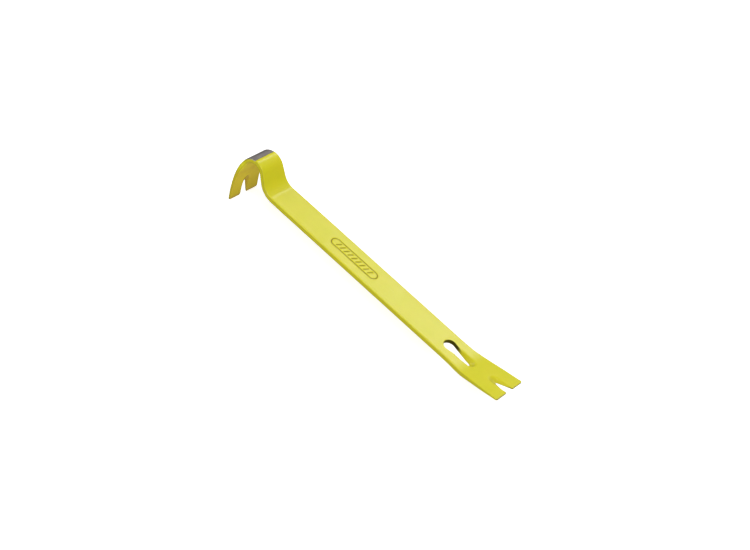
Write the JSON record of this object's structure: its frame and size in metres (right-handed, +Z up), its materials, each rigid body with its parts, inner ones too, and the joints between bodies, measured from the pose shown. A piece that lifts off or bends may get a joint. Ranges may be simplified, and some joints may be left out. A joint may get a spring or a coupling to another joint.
{
  "type": "pry bar",
  "caption": "Flat steel utility pry bar with a hook claw over a round heel, a straight lifted claw, a V notch in each claw and a teardrop nail slot; yellow coat.",
  "frame": {"origin": "middle of the straight shank's underside, half way along the shank and across its width", "axes": "+X along the shank towards the straight claw, +Y across the bar, +Z up out of the shank's top face, on the side that the heel rises to"},
  "size_m": [0.381, 0.0444, 0.0641],
  "materials": {
    "bare_steel": "ground, with fine scratches",
    "yellow_enamel": "glossy baked enamel, slightly uneven over the forging"
  },
  "bodies": {
    "root": {"forged_bar": "bare_steel", "enamel_coat": "yellow_enamel"}
  },
  "joints": []
}
